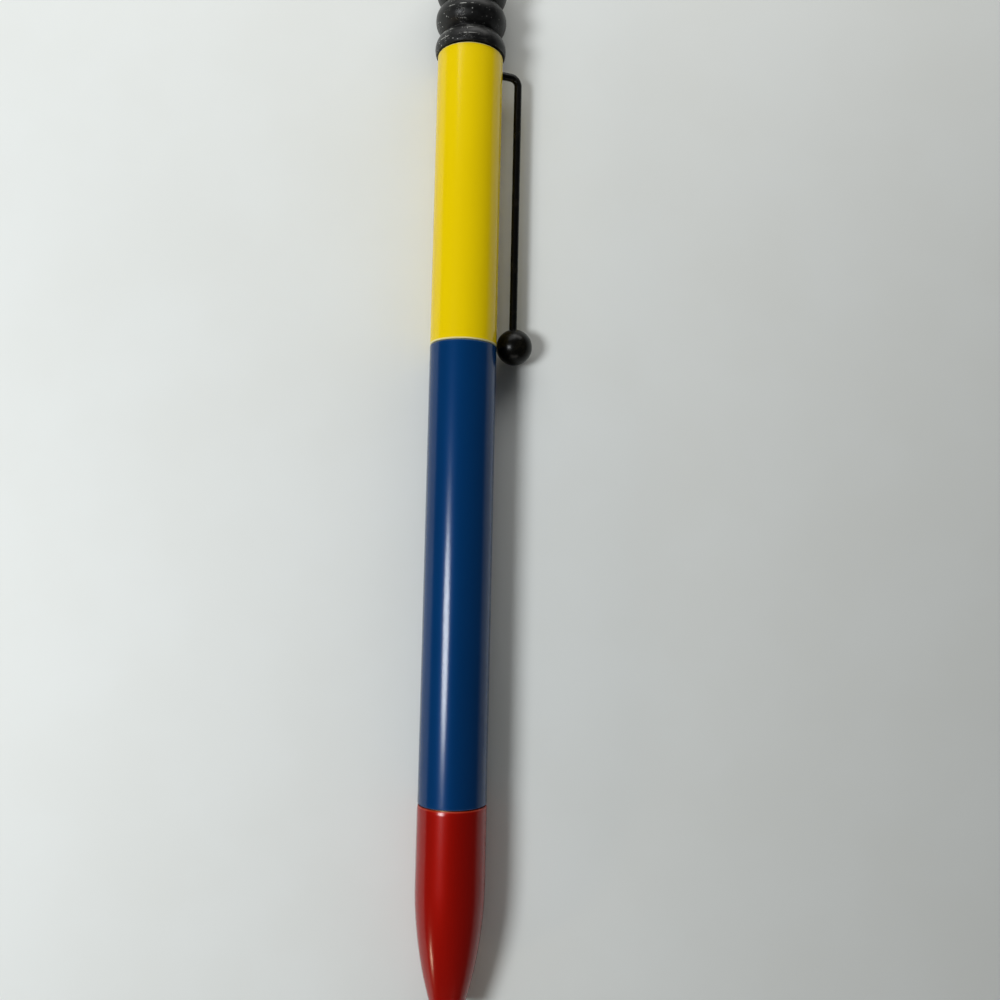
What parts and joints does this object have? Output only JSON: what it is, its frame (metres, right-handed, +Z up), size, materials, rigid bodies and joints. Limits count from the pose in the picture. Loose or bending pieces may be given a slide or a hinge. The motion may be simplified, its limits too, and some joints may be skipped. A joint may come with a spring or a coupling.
{
  "type": "ballpoint pen",
  "caption": "Slim twist-action ballpoint pen in three lacquered sections, with a ribbed black turning knob and a wire pocket clip that ends in a ball.",
  "frame": {"origin": "middle of the pen's box, on the surface it lies on", "axes": "+Y along the pen towards its knob, +Z up from the table, +X towards the clip"},
  "size_m": [0.0134, 0.1354, 0.0092],
  "materials": {
    "yellow_lacquer": "gloss yellow lacquer over brass",
    "blue_lacquer": "gloss deep blue lacquer over brass",
    "red_lacquer": "gloss red lacquer over brass",
    "black_rubber": "moulded black rubber, slightly glossy, with fine dust",
    "black_metal": "satin black coating over steel",
    "brass": "turned brass",
    "steel": "bright drawn steel",
    "white_plastic": "moulded white plastic",
    "seal_rubber": "matt black rubber",
    "ink": "thick blue ink",
    "grease": "pale follower grease"
  },
  "bodies": {
    "upper_barrel": {"upper_barrel": "yellow_lacquer", "mechanism_housing": "brass", "clip_collar": "brass", "thrust_washer": "white_plastic", "barrel_coupler": "brass"},
    "knob": {"ribbed_knob": "black_rubber", "knob_core": "black_metal", "drive_sleeve": "brass", "retaining_ring": "steel", "friction_ring": "seal_rubber"},
    "pusher": {"pusher": "white_plastic", "cross_pin": "steel"},
    "refill": {"refill_tube": "steel", "refill_tip": "brass", "ink_column": "ink", "ink_follower": "grease", "refill_plug": "white_plastic"},
    "writing_ball": {"writing_ball": "steel"},
    "clip": {"clip_wire": "black_metal", "clip_ball": "black_metal"},
    "lower_barrel": {"lower_barrel": "blue_lacquer", "nose_section": "red_lacquer", "nose_joint_bush": "brass", "thread_insert": "brass", "return_spring": "steel"}
  },
  "joints": [
    {"name": "knob_twist", "type": "hinge", "parent": "upper_barrel", "child": "knob", "pos_m": [-0.00214, 0.05282, 0.0046], "axis": [0, 1, 0], "range_deg": [0, 180]},
    {"name": "pusher_advance", "type": "slide", "parent": "knob", "child": "pusher", "axis": [0, -1, 0], "range_m": [0, 0.004]},
    {"name": "refill_advance", "type": "slide", "parent": "upper_barrel", "child": "refill", "axis": [0, -1, 0], "range_m": [0, 0.004], "deforming": ["return_spring"]},
    {"name": "ball_roll", "type": "hinge", "parent": "refill", "child": "writing_ball", "pos_m": [-0.00214, -0.06633, 0.0046], "axis": [1, 0, 0], "continuous": true},
    {"name": "clip_flex", "type": "hinge", "parent": "upper_barrel", "child": "clip", "pos_m": [0.00141, 0.05122, 0.00338], "axis": [0.3261, 0, 0.9453], "range_deg": [0, 5], "stiffness_Nm_per_rad": 0.6},
    {"name": "lower_barrel_off", "type": "slide", "parent": "upper_barrel", "child": "lower_barrel", "axis": [0, -1, 0], "range_m": [0, 0.09]}
  ],
  "couplings": [
    {"joint": "pusher_advance", "follows": "refill_advance", "ratio": 1},
    {"joint": "knob_twist", "follows": "refill_advance", "rad_per_m": 785.4}
  ]
}
